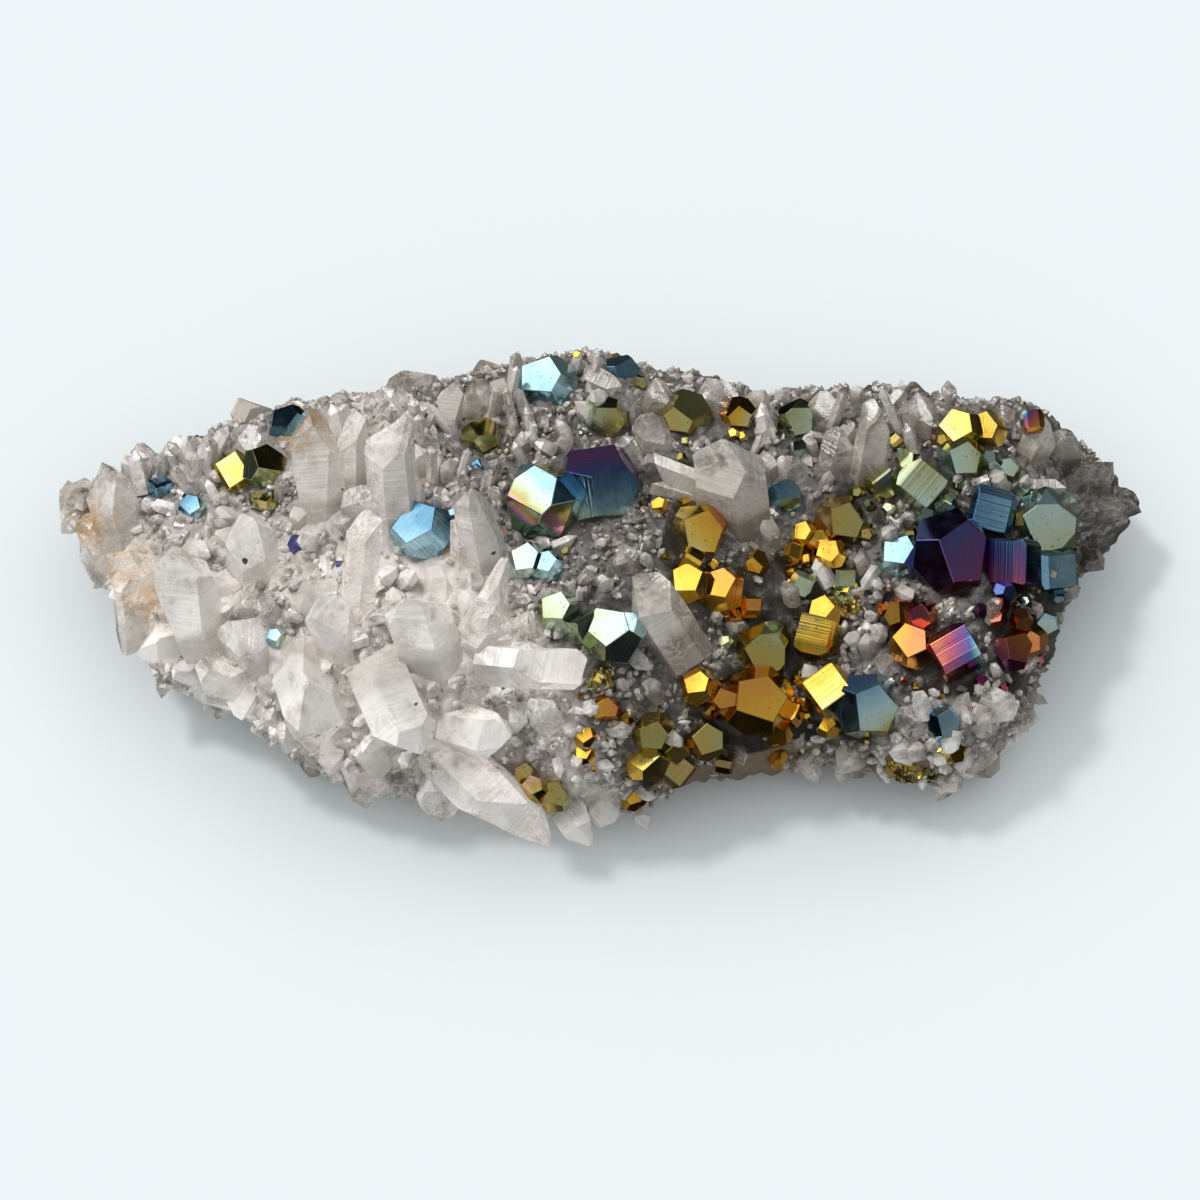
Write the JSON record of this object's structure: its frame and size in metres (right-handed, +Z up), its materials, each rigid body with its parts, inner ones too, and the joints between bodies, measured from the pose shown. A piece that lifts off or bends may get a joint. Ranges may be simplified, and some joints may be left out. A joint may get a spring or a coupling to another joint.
{
  "type": "rainbow pyrite specimen",
  "caption": "Cluster of milky quartz crystals on grey rock, set with iridescent pyrite crystals in gold, green, blue and violet; cut flat below to rest on",
  "frame": {"origin": "on the flat resting face, z = 0, under the middle of the specimen", "axes": "+Z up from the resting face; +X along the specimen, towards the end with the violet pyrite; -Y towards the side that the picture shows"},
  "size_m": [0.1201, 0.0639, 0.0398],
  "materials": {
    "quartz": "milky, frosted quartz with grey rock",
    "dark": "dark teal tarnish on pyrite",
    "olive": "olive tarnish on pyrite",
    "blue": "steel-blue tarnish on pyrite",
    "brown": "brown tarnish on pyrite",
    "rainbow": "pale green, blue and magenta tarnish on pyrite",
    "pale": "pale cyan tarnish on pyrite",
    "green": "grey-green tarnish on pyrite",
    "gold": "bright gold pyrite",
    "striped": "striated green and gold tarnish on pyrite",
    "violet": "violet and navy tarnish on pyrite",
    "red": "orange, red and purple tarnish on pyrite",
    "grains": "fine glittering pyrite grains"
  },
  "bodies": {
    "root": {"pyrite_blue_1": "blue", "pyrite_blue_2": "blue", "pyrite_blue_3": "blue", "pyrite_blue_4": "blue", "pyrite_blue_5": "blue", "pyrite_brown_1": "brown", "pyrite_brown_2": "brown", "pyrite_dark_1": "dark", "pyrite_dark_2": "dark", "pyrite_dark_3": "dark", "pyrite_dark_4": "dark", "pyrite_dark_5": "dark", "pyrite_gold_1": "gold", "pyrite_gold_10": "gold", "pyrite_gold_2": "gold", "pyrite_gold_3": "gold", "pyrite_gold_5": "gold", "pyrite_gold_6": "gold", "pyrite_gold_7": "gold", "pyrite_gold_8": "gold", "pyrite_gold_9": "gold", "pyrite_grains_1": "grains", "pyrite_grains_2": "grains", "pyrite_grains_3": "grains", "pyrite_grains_4": "grains", "pyrite_green_1": "green", "pyrite_green_2": "green", "pyrite_green_3": "green", "pyrite_green_4": "green", "pyrite_olive_1": "olive", "pyrite_olive_10": "olive", "pyrite_olive_11": "olive", "pyrite_olive_2": "olive", "pyrite_olive_3": "olive", "pyrite_olive_4": "olive", "pyrite_olive_5": "olive", "pyrite_olive_6": "olive", "pyrite_olive_7": "olive", "pyrite_olive_8": "olive", "pyrite_olive_9": "olive", "pyrite_pale_1": "pale", "pyrite_rainbow_1": "rainbow", "pyrite_red_1": "red", "pyrite_red_3": "red", "pyrite_striped_1": "striped", "pyrite_striped_2": "striped", "pyrite_violet_1": "violet", "quartz_matrix": "quartz"}
  },
  "joints": []
}
